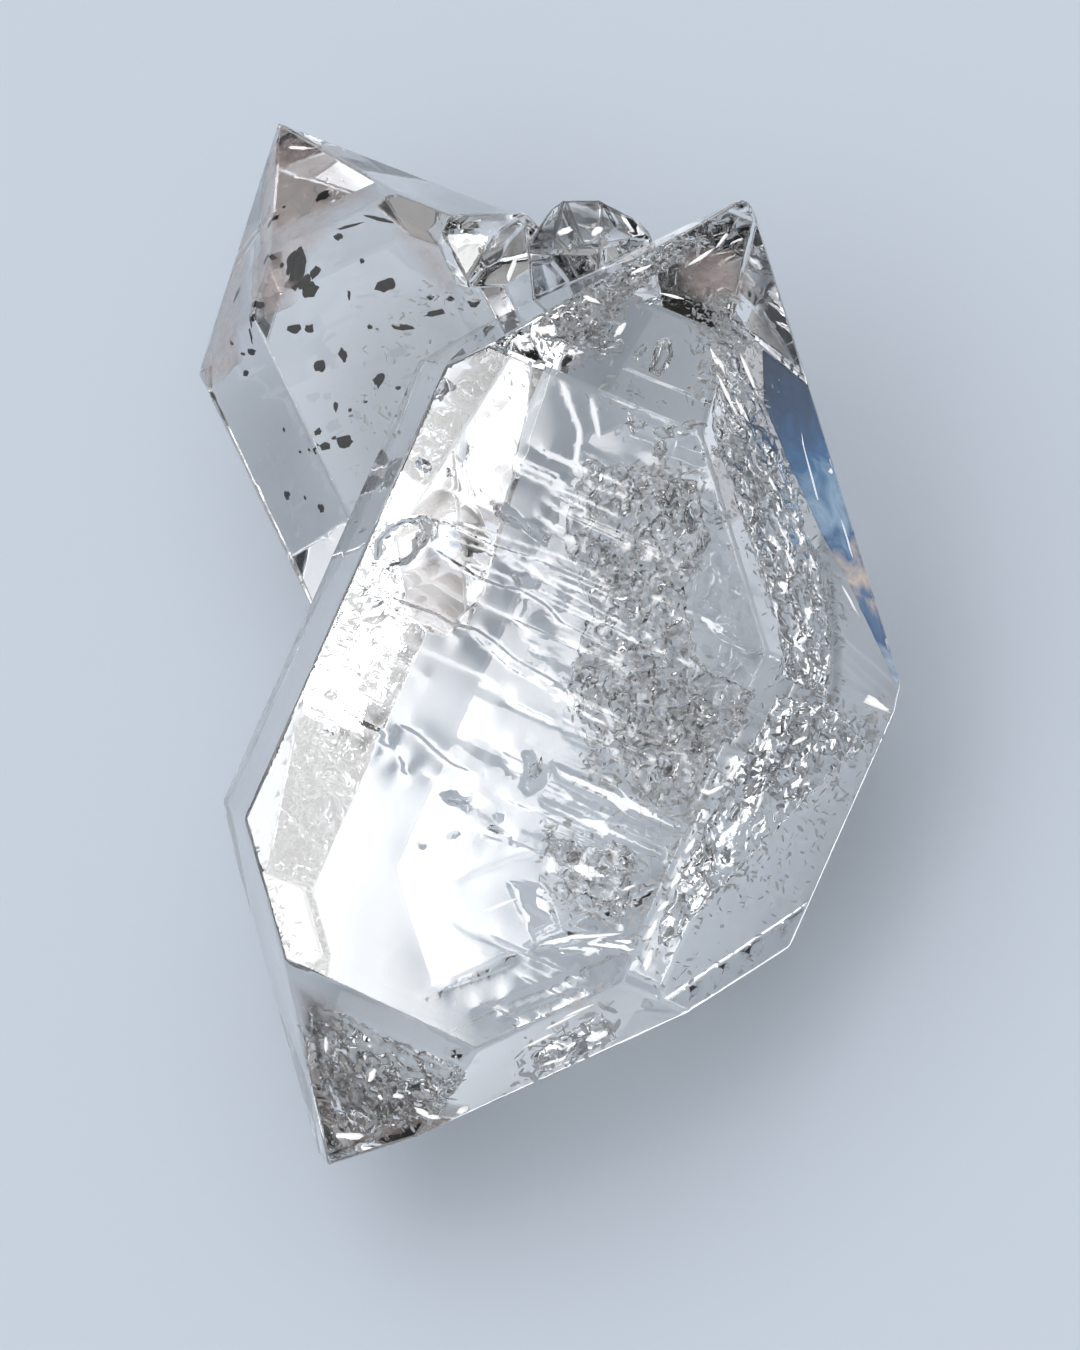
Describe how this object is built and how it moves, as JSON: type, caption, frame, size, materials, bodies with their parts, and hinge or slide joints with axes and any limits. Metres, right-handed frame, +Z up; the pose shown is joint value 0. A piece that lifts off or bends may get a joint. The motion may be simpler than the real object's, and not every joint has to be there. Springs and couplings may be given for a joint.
{
  "type": "quartz crystal cluster",
  "caption": "Clear double-terminated petroleum quartz crystals grown together, lying on their backs, with dark bitumen specks sealed inside.",
  "frame": {"origin": "centre of the bounding box's bottom, on the surface that the group lies on", "axes": "+Z up from the surface, +Y along the largest crystal's long axis, towards the end where the other crystals grow"},
  "size_m": [0.0464, 0.05, 0.0234],
  "materials": {
    "quartz": "clear glassy crystal faces with fine growth lines"
  },
  "bodies": {
    "root": {"quartz_cluster": "quartz"}
  },
  "joints": []
}
